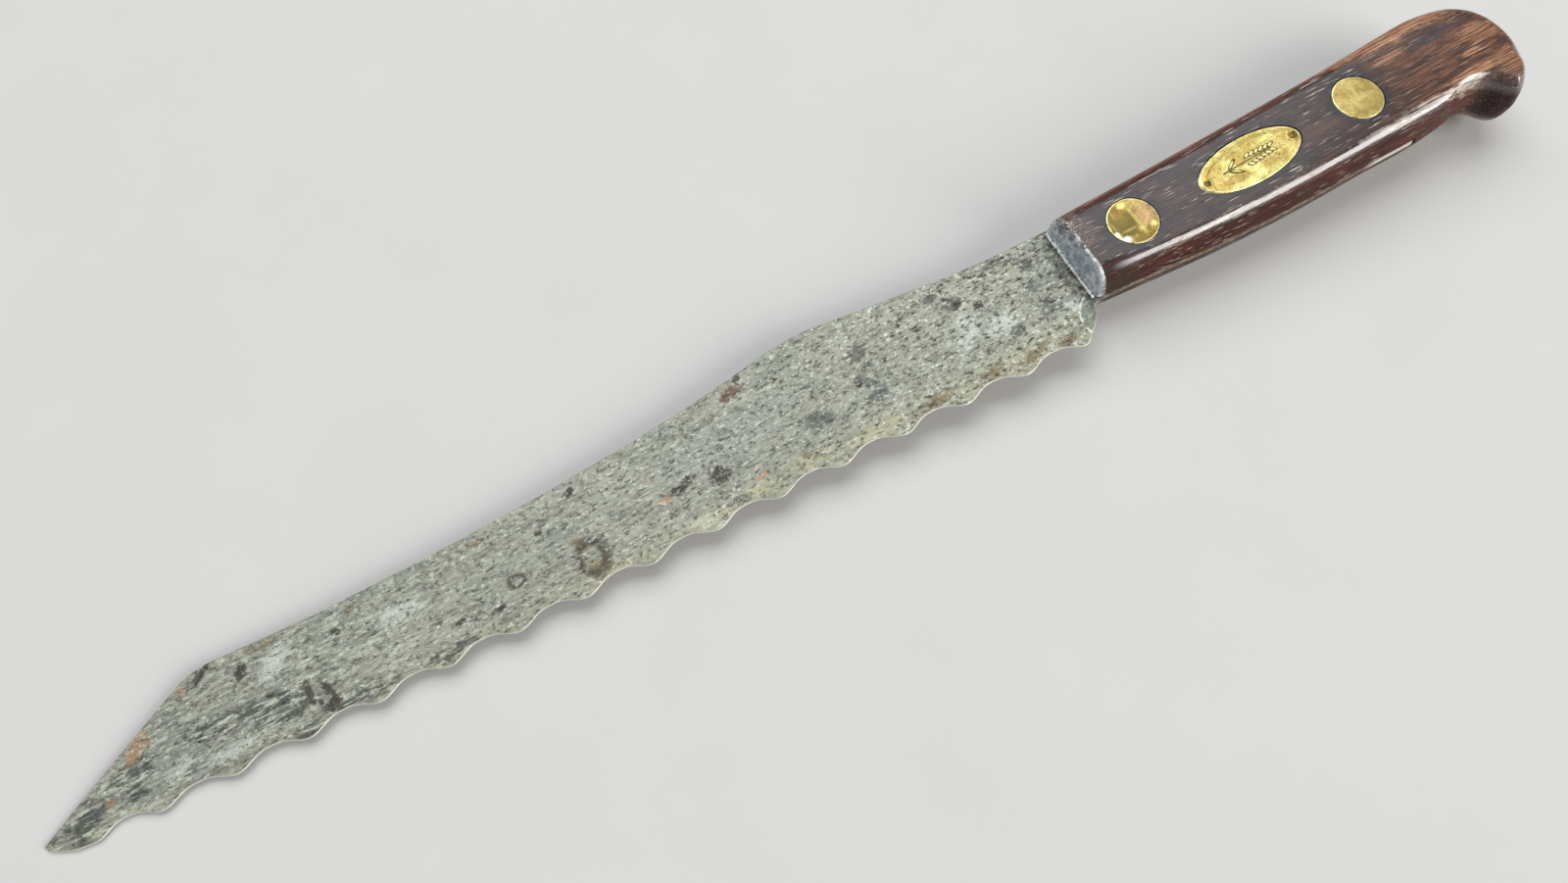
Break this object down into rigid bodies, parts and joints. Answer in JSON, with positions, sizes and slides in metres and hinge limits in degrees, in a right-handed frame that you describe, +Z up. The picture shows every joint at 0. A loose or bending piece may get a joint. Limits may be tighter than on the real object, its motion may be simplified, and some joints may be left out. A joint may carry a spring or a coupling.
{
  "type": "bread knife",
  "caption": "Long bread knife: scalloped steel blade with a clipped point, slotted wooden handle with a hooked butt, metal bolster, round brass rivets and an oval brass medallion.",
  "frame": {"origin": "middle of the knife's box, at the level of the table it lies on", "axes": "+X from the point of the blade to the butt of the handle, +Y from the cutting edge to the back, +Z up out of the table, across the knife's thickness"},
  "size_m": [0.3836, 0.036, 0.0209],
  "materials": {
    "steel": "carbon steel, ground lengthways, with a grey patina, pitting and rust stains",
    "rosewood": "dark brown open-grained hardwood with a worn oil polish",
    "pewter": "soft grey cast metal, dulled, with fine pits",
    "brass": "brass worn to a satin, brown where it is tarnished"
  },
  "bodies": {
    "root": {"blade": "steel", "bolster": "pewter", "handle": "rosewood", "front_rivet_male": "brass", "front_rivet_female": "brass", "rear_rivet_male": "brass", "rear_rivet_female": "brass", "medallion": "brass", "medallion_pin_front": "brass", "medallion_pin_rear": "brass"}
  },
  "joints": []
}
